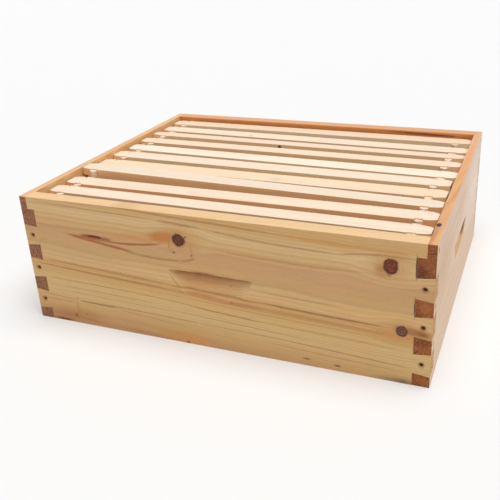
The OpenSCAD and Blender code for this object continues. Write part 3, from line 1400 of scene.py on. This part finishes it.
@dataclass
class Studio:
    """Pale floor, soft light and the camera."""

    eye: tuple[float, float, float] = (0.3327, -0.8233, 0.4563)
    azimuth: float = 21.96
    elevation: float = 23.65
    roll: float = -2.39
    lens: float = 49.6
    shift: tuple[float, float] = (-0.052, -0.0416)
    floor_reach: float = 40.0
    backdrop_radius: float = 12.0
    backdrop_h: float = 12.0
    backdrop_sides: int = 48
    sky: float = 0.32
    key: float = 2.85
    key_from: tuple[float, float, float] = (0.20, -0.13, 0.97)
    key_angle: float = 55.0

    def build(self) -> None:
        """Sets up the studio."""
        self._floor()
        self._backdrop()
        self._light()
        self._camera()

    def _floor(self) -> None:
        """Lays the floor under the box."""
        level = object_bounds()[0].z
        corners = ((-1, -1), (1, -1), (1, 1), (-1, 1))
        points = [(x * self.floor_reach, y * self.floor_reach, level) for x, y in corners]
        mesh = solid_mesh("floor", points, [(0, 1, 2, 3)])
        mesh.materials.append(FloorFinish().build())
        floor = placed("floor", mesh)
        floor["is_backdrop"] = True

    def _backdrop(self) -> None:
        """Hangs a white cloth far round the floor, seen and reflected but not lighting the wood."""
        sides = self.backdrop_sides
        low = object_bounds()[0].z
        turns = [math.tau * k / sides for k in range(sides)]
        ring = [(math.cos(turn), math.sin(turn)) for turn in turns]
        points = [(x * self.backdrop_radius, y * self.backdrop_radius, low + z)
                  for z in (0.0, self.backdrop_h) for x, y in ring]
        faces = [((k + 1) % sides, k, k + sides, (k + 1) % sides + sides) for k in range(sides)]
        mesh = solid_mesh("backdrop", points, faces)
        mesh.materials.append(BackdropFinish().build())
        cloth = placed("backdrop", mesh)
        cloth.visible_diffuse = False
        cloth.visible_shadow = False
        cloth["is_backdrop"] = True

    def _light(self) -> None:
        """Hangs one wide soft light over an even pale surround."""
        world = bpy.data.worlds.new("surround")
        world.use_nodes = True
        backdrop = world.node_tree.nodes["Background"]
        backdrop.inputs["Color"].default_value = (1.0, 1.0, 1.0, 1.0)
        backdrop.inputs["Strength"].default_value = self.sky
        bpy.context.scene.world = world
        light = bpy.data.lights.new("soft_key", "SUN")
        light.energy = self.key
        light.angle = math.radians(self.key_angle)
        lamp = placed("soft_key", light)
        lamp.rotation_euler = Vector(self.key_from).to_track_quat("Z", "Y").to_euler()

    def _camera(self) -> None:
        """Places the camera by its direction from the box and its roll."""
        angles = (self.azimuth, self.elevation, self.roll)
        azimuth, elevation, roll = (math.radians(angle) for angle in angles)
        level = math.cos(elevation)
        back = Vector((math.sin(azimuth) * level, -math.cos(azimuth) * level, math.sin(elevation)))
        right = back.cross(Vector((0, 0, -1))).normalized()
        up = right.cross(-back)
        side = right * math.cos(roll) + up * math.sin(roll)
        top = up * math.cos(roll) - right * math.sin(roll)
        turn = Matrix((side, top, back)).transposed().to_4x4()
        data = bpy.data.cameras.new("camera")
        data.lens = self.lens
        data.shift_x, data.shift_y = self.shift
        data.clip_start = 0.01
        camera = placed("camera", data)
        camera.matrix_world = Matrix.Translation(self.eye) @ turn
        bpy.context.scene.camera = camera


# ---- what each board and bar looks like ----


# Tints of the marks that the boards share.
RED: Tint = (0.40, 0.145, 0.05)
BROWN: Tint = (0.42, 0.21, 0.075)
RUST: Tint = (0.40, 0.13, 0.035)
DARK: Tint = (0.16, 0.07, 0.035)
ORANGE: Tint = (0.64, 0.29, 0.075)
PINK: Tint = (0.63, 0.36, 0.18)
UMBER: Tint = (0.42, 0.18, 0.07)
CHESTNUT: Tint = (0.30, 0.12, 0.05)
BRUISE: Tint = (0.26, 0.115, 0.04)
ROSE: Tint = (0.66, 0.40, 0.24)


def nail_bruises(places: Iterable[tuple[float, float]]) -> tuple[Spot, ...]:
    """Darkened wood round the nails that are driven at some places."""
    return tuple(Spot(along, across, 3.7, BRUISE, 0.9) for along, across in places)


# Places of the nails on the long boards and on the end boards.
TAIL_NAILS = tuple((x, z) for x in (-242.4, 242.4) for z in (27.4, 72.4, 117.4))
PIN_NAILS = tuple((y, z) for y in (-196.4, 196.4) for z in (49.9, 94.9, 158.0))

FRONT_WOOD = WoodFinish(
    name="honey_fir", grain=Grain.LENGTHWISE, pale=(0.82, 0.57, 0.28), warm=(0.70, 0.40, 0.17),
    late=(0.44, 0.23, 0.09), end=(0.56, 0.30, 0.13), pith=(-140.0, 112.0), pitch=2.3, slope=-0.045,
    ring_share=0.5, warm_share=0.55, rim=(0.79, 0.54, 0.29),
    bands=(
        (0, (0.51, 0.275, 0.117)), (8, (0.57, 0.335, 0.128)), (22, (0.63, 0.40, 0.165)),
        (38, (0.685, 0.475, 0.213)), (54, (0.665, 0.447, 0.182)), (64, (0.61, 0.365, 0.13)),
        (74, (0.62, 0.355, 0.13)), (83, (0.71, 0.465, 0.213)), (93, (0.665, 0.44, 0.195)),
        (105, (0.595, 0.355, 0.143)), (118, (0.557, 0.325, 0.146)), (127, (0.625, 0.36, 0.157)),
        (138, (0.67, 0.44, 0.19)), (148, (0.715, 0.495, 0.243)), (158, (0.665, 0.435, 0.179)),
        (166.5, (0.635, 0.385, 0.146)), (176, (0.64, 0.41, 0.175)),
    ),
    knots=(
        Knot(-35.3, 136.8, 7.8, 0.97),
        Knot(207, 139, 7.4, 1.15, (0.15, 0.022, 0.004), (0.28, 0.062, 0.017)),
        Knot(220.5, 65, 5.9, 1.05, (0.14, 0.05, 0.03), (0.25, 0.12, 0.075)),
    ),
    veins=(
        Vein(-248, 164, -55, 158.5, 0.9, 0.55), Vein(-66, 158.4, -4, 155, 1.4, 0.75, BROWN),
        Vein(-20, 156.2, 165, 144, 0.9, 0.65, BROWN, -2.5),
        Vein(148, 144, 240, 148.5, 0.9, 0.65, RED, 3.5), Vein(-130, 168.8, 95, 158.3, 1.2, 0.6),
        Vein(70, 159.6, 240, 155, 1.5, 0.75, ORANGE, -1.6),
        Vein(-200, 127, -96, 121.2, 0.9, 0.9, RUST, -0.8),
        Vein(-128, 122.2, -55, 130, 1.1, 0.95, RUST, -2.2),
        Vein(-192, 125.5, -92, 112, 1.45, 0.95, RUST, 0.4),
        Vein(-112, 113.4, -26, 111.5, 1.2, 0.75, BROWN, -3),
        Vein(-36, 110.5, -15, 117, 1.3, 0.8, (0.46, 0.21, 0.08), -1.5),
        # Painted shadow line under the top edge of the hand hold (the first vein), and a dark line
        # drawn along the hold's left edge (the second).
        Vein(-53.5, 97, 52.5, 96.2, 0.8, 1.4, (0.22, 0.065, 0.015)),
        Vein(-54.5, 97, -38, 73.5, 0.9, 0.7, BROWN, -2.6),
        Vein(-173, 126.6, -125, 124.6, 1.5, 0.95, (0.30, 0.11, 0.04), 0.4),
        Vein(-161, 126.4, -139, 125.7, 1.1, 1.5, (0.14, 0.03, 0.006), 0.5),
        Vein(-5, 132.7, 195, 128, 1, 0.5, BROWN, -3.5),
        Vein(-240, 87, -46, 76.6, 1, 0.75, BROWN, 0.3),
        Vein(-60, 76.6, 70, 72.3, 1.1, 0.9, BROWN, -1.3),
        Vein(50, 73.1, 216, 66.4, 0.9, 0.9, (0.34, 0.16, 0.06), -0.6),
        Vein(-254, 80.3, -30, 69, 1.1, 0.8),
        Vein(-50, 69.9, 75, 63.8, 1.7, 0.85, (0.5, 0.22, 0.09), -0.6),
        Vein(40, 65.5, 232, 56.8, 1.3, 0.7, (0.50, 0.24, 0.09), -0.4),
        Vein(-240, 61.7, -80, 58.2, 0.6, 0.6), Vein(-115, 59.2, 5, 50.3, 0.6, 0.55, BROWN, 0.8),
        Vein(-30, 52.2, 70, 46.6, 0.8, 0.8), Vein(45, 48.3, 235, 40.7, 0.7, 0.5),
        Vein(-252, 37.5, -190, 33.3, 0.5, 0.6), Vein(-200, 33.2, 5, 30, 0.6, 0.7, BROWN, 1.5),
        Vein(-190, 33.4, -130, 32, 0.7, 0.8, (0.28, 0.14, 0.06)),
        Vein(-20, 30.8, 115, 28, 0.6, 0.55, BROWN, 0.5),
        Vein(85, 28.8, 240, 20.2, 0.7, 0.7, BROWN, 0.3), Vein(-252, 30, -190, 29.2, 0.5, 0.6),
        Vein(-136, 30.4, -25, 22.6, 0.5, 0.6), Vein(50, 22.4, 235, 14.6, 0.5, 0.45),
        Vein(-236, 13, -196, 10.8, 0.6, 0.7, BROWN, 0.5),
        Vein(-198, 11, -150, 5.5, 0.8, 0.7, BROWN, -0.5), Vein(-60, 42, 130, 35, 0.5, 0.45),
        Vein(-230, 46, -40, 40.4, 0.5, 0.5), Vein(-225, 52.4, -60, 48, 0.5, 0.5),
        Vein(90, 93, 235, 86, 0.8, 0.4, PINK), Vein(52, 86, 160, 83, 0.8, 0.4),
    ),
    patches=(
        Patch(-56, 138, 15, 5.5, (0.51, 0.165, 0.022), 1.35, rise=0.12),
        Patch(-96, 132.5, 42, 4.5, ORANGE, 0.5, rise=0.12),
        Patch(-150, 122.5, 70, 7, PINK, 0.5, rise=-0.03),
        Patch(-150, 125.6, 22, 2.6, RED, 0.6, rise=-0.02),
        Patch(-145, 104, 90, 12, (0.57, 0.35, 0.15), 0.45), Patch(-48.6, 127.5, 0.9, 5, UMBER, 1),
        Patch(-45.5, 122, 1.3, 2.6, UMBER, 1), Patch(-20.6, 124.5, 0.9, 5.5, UMBER, 1),
        Patch(-31, 118.6, 10, 0.8, PINK, 0.7, rise=0.05),
        Patch(198, 133.5, 6, 6.5, (0.40, 0.16, 0.055), 0.95),
        Patch(205.5, 130, 1.8, 2.6, (0.14, 0.04, 0.02), 1.2),
        Patch(-18, 69.4, 20, 1.6, (0.45, 0.19, 0.06), 0.9, rise=-0.04),
        Patch(-218, 2.8, 16, 2, CHESTNUT, 0.8), Patch(-208, 9.5, 15, 2.4, (0.40, 0.17, 0.06), 0.7),
        Patch(26, 117, 42, 9, (0.62, 0.34, 0.15), 0.6), Patch(135, 116, 85, 12, PINK, 0.5),
        Patch(-130, 68, 110, 8, (0.70, 0.43, 0.17), 0.35, rise=-0.045),
        Patch(-34, 5, 27, 8, ORANGE, 0.95), Patch(-194, 11, 30, 8, (0.47, 0.20, 0.06), 0.7),
        Patch(178, 80, 42, 4, (0.72, 0.42, 0.14), 0.6), Patch(214, 57.5, 22, 3.5, ORANGE, 0.75),
        Patch(233, 65.8, 13, 3.4, (0.25, 0.085, 0.025), 1.5, rise=-0.08),
        # The first patch on the next line is painted shadow along the bottom edge near the right
        # corner.
        Patch(222, 2.5, 20, 3, (0.16, 0.11, 0.07), 0.8), Patch(-192, 22, 1.6, 9, BROWN, 0.45),
        Patch(-8, 97.4, 12, 2.3, (0.27, 0.09, 0.03), 1), Patch(70, 3, 110, 5, PINK, 0.35),
        Patch(-150, 168, 85, 0.9, (0.50, 0.24, 0.10), 0.7, -206.4, 0.9),
        Patch(-215, 2, 9, 0.9, (0.15, 0.045, 0.012), 1.6), Patch(115, 9, 3.5, 1, DARK, 0.9),
        Patch(151, 7, 3.2, 1.1, DARK, 0.9), Patch(233, 141, 0.7, 9, (0.04, 0.02, 0.012), 2.4),
        Patch(233, 95, 0.6, 8, (0.05, 0.025, 0.015), 1.8),
        Patch(-12, 86, 42, 8, (0.72, 0.36, 0.13), 1, -200, 3.3),
        # Painted shade in the top of the hand hold, under its overhanging edge.
        Patch(0, 95.5, 52, 4.8, (0.50, 0.155, 0.024), 1.35, -196, 6.5),
        # The first patch on the next line is a painted highlight at the right end of the hand hold.
        Patch(44, 84, 5, 5, (0.74, 0.50, 0.31), 0.35, -201, 5), Patch(-35, 122, 11, 4, PINK, 0.5),
        Patch(-36, 121, 80, 5, PINK, 0.35, rise=-0.05),
    ),
    spots=nail_bruises(TAIL_NAILS) + (
        Spot(-26.5, 141.6, 1.5, DARK, 1), Spot(-43, 120.6, 2, CHESTNUT, 0.9),
        Spot(-196, 11, 2.8, (0.26, 0.10, 0.035), 0.8), Spot(-20.3, 119.4, 1.7, CHESTNUT, 0.8),
        Spot(-180, 15, 1.6, RED, 0.8), Spot(-174, 131.5, 1.6, (0.45, 0.34, 0.2), 0.6),
        Spot(-120, 82.5, 1.3, BROWN, 0.7), Spot(-101, 78.6, 1.3, BROWN, 0.7),
        Spot(-31, 84, 1.1, BROWN, 0.6), Spot(23, 83.6, 1.2, BROWN, 0.6),
        Spot(-36, 1, 2.8, (0.26, 0.08, 0.02), 0.8), Spot(86, 70, 1.8, BROWN, 0.8),
        Spot(25, 66, 2, RED, 0.7), Spot(-190, 37, 1.6, BROWN, 0.6),
    ),
)
REAR_WOOD = WoodFinish(
    name="amber_fir", grain=Grain.LENGTHWISE, pale=(0.67, 0.37, 0.20), warm=(0.65, 0.31, 0.13),
    late=(0.42, 0.17, 0.06), end=(0.70, 0.48, 0.32), pith=(260.0, 60.0), pitch=2.8, slope=0.02,
    side=(0.76, 0.50, 0.26), side_share=0.8,
    knots=(Knot(120, 70, 7), Knot(-160, 108, 8)),
    veins=(
        Vein(-245, 142, -20, 149, 1, 0.7, BROWN, 1.5),
        Vein(-60, 151, 240, 157, 0.9, 0.6, BROWN, -2), Vein(-130, 112, 60, 121, 1.3, 0.7, RED, 3),
        Vein(40, 122, 244, 118, 1, 0.6, BROWN, 2), Vein(-250, 86, -30, 90, 1.4, 0.6, BROWN, -2),
        Vein(-70, 89, 90, 84, 1, 0.7, RED, 1.5), Vein(-246, 52, 40, 58, 1.1, 0.7, BROWN, 2),
        Vein(10, 57, 246, 49, 1.3, 0.6, ORANGE, 1), Vein(-240, 22, -10, 27, 0.7, 0.7, BROWN, 1),
        Vein(-50, 25, 200, 31, 0.7, 0.6, BROWN, -1), Vein(60, 12, 240, 15, 0.7, 0.6, RED, 1),
    ),
    patches=(
        # Painted warm bounce light and shade over the rear board's inner face.
        Patch(0, 90, 500, 160, (0.72, 0.29, 0.085), 3, 187.4, 1.5),
        # Painted shadow line on the rear board's inner face, in the gap between it and the top
        # bars.
        Patch(172, 164.4, 40, 1.1, (0.27, 0.09, 0.032), 1.6, 187.4, 2, rise=-0.02),
        Patch(150, 70, 30, 7, ORANGE, 0.7), Patch(-190, 108, 30, 7, ORANGE, 0.6),
        Patch(-60, 70, 90, 12, PINK, 0.5), Patch(60, 135, 110, 10, (0.80, 0.56, 0.32), 0.5),
        Patch(-100, 12, 110, 9, PINK, 0.5),
    ),
    spots=nail_bruises(TAIL_NAILS),
)
LEFT_WOOD = WoodFinish(
    name="ginger_fir", grain=Grain.CROSSWISE, pale=(0.73, 0.44, 0.23), warm=(0.67, 0.34, 0.13),
    late=(0.45, 0.19, 0.07), end=(0.29, 0.115, 0.05), pith=(-160.0, 60.0), pitch=3, slope=0.02,
    side=(0.80, 0.57, 0.34), side_share=0.75,
    knots=(Knot(-90, 62, 7),),
    veins=(
        Vein(-195, 140, 60, 146, 1, 0.6, BROWN, 2), Vein(-60, 118, 190, 110, 1.3, 0.6, PINK, -2),
        Vein(-190, 84, -20, 80, 1.1, 0.7, BROWN, -3), Vein(-30, 78, 195, 86, 0.9, 0.6, RED, 2),
        Vein(-150, 34, 150, 40, 0.9, 0.6, BROWN, 2), Vein(-30, 16, 195, 20, 0.8, 0.6, BROWN, 1),
    ),
    patches=(
        # The first patch on the next line is painted light: it lightens and warms the left board's
        # inner face.
        Patch(0, 90, 500, 160, (0.93, 0.56, 0.25), 3, -238, 4), Patch(-60, 60, 30, 6, ORANGE, 0.6),
        Patch(90, 126, 70, 12, PINK, 0.5), Patch(60, 30, 90, 10, PINK, 0.4),
        Patch(0, 88, 44, 12, (0.66, 0.34, 0.12), 0.8, -243, 6),
        # Painted shade in the corner of the ledge that the frames hang on.
        Patch(0, 152.4, 220, 2.2, (0.25, 0.10, 0.04), 0.8, -242.6, 1.5),
    ),
    spots=nail_bruises(PIN_NAILS),
)
RIGHT_WOOD = WoodFinish(
    name="rosy_fir", grain=Grain.CROSSWISE, pale=(0.68, 0.37, 0.16), warm=(0.64, 0.28, 0.10),
    late=(0.50, 0.22, 0.09), end=(0.28, 0.078, 0.014), pith=(300.0, -10.0), pitch=3.2, slope=-0.03,
    ring_share=0.5, fibre_share=0.22, side=(0.80, 0.60, 0.44), side_share=0.85,
    veins=(
        Vein(-200, 128, 30, 120, 1.5, 0.5, ROSE, 2),
        Vein(-60, 122, 200, 132, 1, 0.4, (0.66, 0.40, 0.26), -2),
        Vein(-190, 82, -50, 76, 1.3, 0.5, (0.64, 0.38, 0.20), 1),
        Vein(-200, 56, 80, 60, 1, 0.5, ROSE, -2),
        Vein(20, 58, 200, 50, 1.2, 0.4, (0.68, 0.44, 0.28), 1),
        Vein(-180, 24, 120, 30, 1, 0.5, (0.64, 0.38, 0.22), 2),
    ),
    patches=(
        Patch(-150, 118, 60, 36, (0.64, 0.40, 0.23), 0.75, rise=-0.1),
        Patch(-60, 60, 90, 26, (0.74, 0.52, 0.33), 0.45),
        Patch(140, 112, 90, 42, (0.90, 0.75, 0.66), 0.7, rise=-0.1),
        Patch(-10, 140, 60, 9, (0.62, 0.38, 0.26), 0.3, rise=-0.06),
        Patch(30, 30, 120, 10, (0.72, 0.48, 0.34), 0.3),
        Patch(0, 86, 200, 24, (0.62, 0.37, 0.16), 40, 244, 4.15),
        # Painted shade, darkest in the far end of the hand hold.
        Patch(54, 86, 14, 24, (0.21, 0.085, 0.03), 7, 246.8, 2.8),
        # Painted shade under the top edge of the hand hold.
        Patch(10, 97.5, 62, 3.5, (0.33, 0.15, 0.06), 1.1, 243, 4.5),
        Patch(75, 168.3, 75, 3, (0.70, 0.27, 0.06), 0.55, 248, 4),
        # Painted shade in the corner of the ledge that the frames hang on.
        Patch(0, 152.4, 220, 1.6, (0.16, 0.065, 0.03), 1.6, 241.9, 0.9),
        Patch(-178, 168.3, 26, 3, (0.50, 0.19, 0.08), 0.9, 244.5, 2),
        Patch(-156.5, 168.3, 3.3, 3, (0.03, 0.012, 0.010), 3, 245.6, 1.7),
    ),
    spots=nail_bruises(PIN_NAILS),
    end_marks=(
        Patch(-206.4, 134, 4, 9, (0.11, 0.03, 0.010), 1.3, 239, 6),
        Patch(-206.4, 146, 4, 6, (0.36, 0.12, 0.03), 0.7, 246, 5),
        Patch(-206.4, 96, 4, 7, (0.43, 0.145, 0.034), 1.1, 245, 7),
        Patch(-206.4, 88, 4, 5, (0.17, 0.06, 0.02), 0.8, 236, 4),
        Patch(-206.4, 46, 4, 4, (0.38, 0.13, 0.03), 0.8, 246, 7),
        Patch(-206.4, 55, 4, 3, (0.14, 0.045, 0.015), 0.9, 240, 8),
        Patch(-206.4, 7, 4, 5, (0.42, 0.14, 0.03), 0.8, 245, 6),
    ),
)
TOP_WOOD = WoodFinish(
    name="cream_fir", grain=Grain.LENGTHWISE, pale=(0.85, 0.70, 0.54), warm=(0.83, 0.65, 0.47),
    late=(0.66, 0.45, 0.27), end=(0.60, 0.46, 0.34), pith=(0.0, 60.0), pitch=2.6, drift=2,
    ring_share=0.33, warm_share=0.5, fibre_share=0.09, fleck_share=0.2,
)
END_WOOD = replace(TOP_WOOD, name="cream_fir_upright", grain=Grain.UPRIGHT, pith=(400.0, 900.0),
                   ring_share=0.4, end=(0.80, 0.61, 0.44), end_grey=0.05, end_relief=0.1)
BOTTOM_WOOD = replace(TOP_WOOD, name="cream_fir_bottom", pith=(900.0, 300.0), ring_share=0.4)


# Where a top bar's pith can lie beside and above its middle, and how steep its grain can be.
PITH_BESIDE = (-40.0, 40.0)
PITH_ABOVE = (25.0, 70.0)
SLOPES = (-0.02, 0.02)


def top_finish(number: int) -> WoodFinish:
    """Gives one frame's top bar its own growth rings, shade and marks, and painted bounce light and
    shade on its long faces.

    Args:
        number: Number of the frame.

    Returns:
        The finish.
    """
    draws = random.Random(number)
    low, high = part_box(f"frame_{number:02d}_top_bar")
    middle = (low + high) / (2 * MM)
    pith = (middle.y + draws.uniform(*PITH_BESIDE), middle.z + draws.uniform(*PITH_ABOVE))
    marks = tuple(replace(mark, through=middle.y + mark.through, across=high.z / MM + mark.across)
                  for mark in TOP_MARKS.get(number, ()))
    pale, warm = (tuple(part * share for part, share in zip(tint, TOP_SHADES[number]))
                  for tint in (TOP_WOOD.pale, TOP_WOOD.warm))
    # The long faces get painted bounce light and shade for the gaps between the bars.
    return replace(TOP_WOOD, name=f"cream_fir_{number:02d}", pith=pith,
                   slope=draws.uniform(*SLOPES), pale=pale, warm=warm,
                   side=TOP_SIDES_PAINTED_BOUNCE[number], spots=marks)


# By frame: tint of the top bar's long faces, which is painted warm bounce light and shade for the
# gaps between the bars; share of each part of its wood's tint; and marks, whose height counts from
# the bar's top and whose depth counts from its middle.
TOP_SIDES_PAINTED_BOUNCE: dict[int, Tint] = {
    1: (1.00, 0.79, 0.54), 2: (0.92, 0.69, 0.46), 3: (1.00, 0.73, 0.43), 4: (0.98, 0.67, 0.40),
    5: (0.94, 0.70, 0.44), 6: (1.00, 0.74, 0.43), 7: (0.92, 0.68, 0.42), 8: (0.93, 0.58, 0.29),
    9: (0.98, 0.55, 0.27), 10: (0.90, 0.64, 0.42),
}
TOP_SHADES: dict[int, Tint] = {
    1: (0.96, 0.89, 0.83), 2: (0.99, 0.97, 0.96), 3: (0.97, 0.92, 0.90), 4: (0.98, 0.94, 0.91),
    5: (1.03, 1.08, 1.12), 6: (0.98, 0.98, 0.98), 7: (1.00, 0.93, 0.84), 8: (0.94, 0.96, 0.97),
    9: (0.98, 0.97, 0.96), 10: (0.98, 0.98, 0.99),
}
TOP_MARKS: dict[int, tuple[Spot, ...]] = {
    2: (Spot(-86, 0, 2.5, (0.30, 0.22, 0.14), 0.7, -5.0),),
    3: (Spot(-24, -4.5, 3.2, (0.07, 0.03, 0.03), 1.0, -9.0),),
    7: (Spot(24, 0, 9.0, (0.62, 0.42, 0.34), 0.35, -4.0),
        Spot(59, 0, 1.3, (0.2, 0.1, 0.08), 0.9, -8.0)),
}


def main() -> None:
    """Dresses the hive box and sets up the studio."""
    logging.basicConfig(level=logging.INFO, format="%(name)s: %(message)s")
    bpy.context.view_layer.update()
    Studio().build()
    BoxBody(finishes={
        Side.FRONT: FRONT_WOOD, Side.REAR: REAR_WOOD, Side.LEFT: LEFT_WOOD, Side.RIGHT: RIGHT_WOOD,
    }).build()
    end_material = END_WOOD.build()
    bottom_material = BOTTOM_WOOD.build()
    wax = WaxFinish().build()
    steel = SteelFinish("brad_steel").build()
    for number in range(1, FRAME_COUNT + 1):
        HangingFrame(number, top_finish(number), end_material, bottom_material, wax, steel).build()
    bpy.context.scene.view_settings.view_transform = "Standard"


if __name__ == "__main__":
    main()
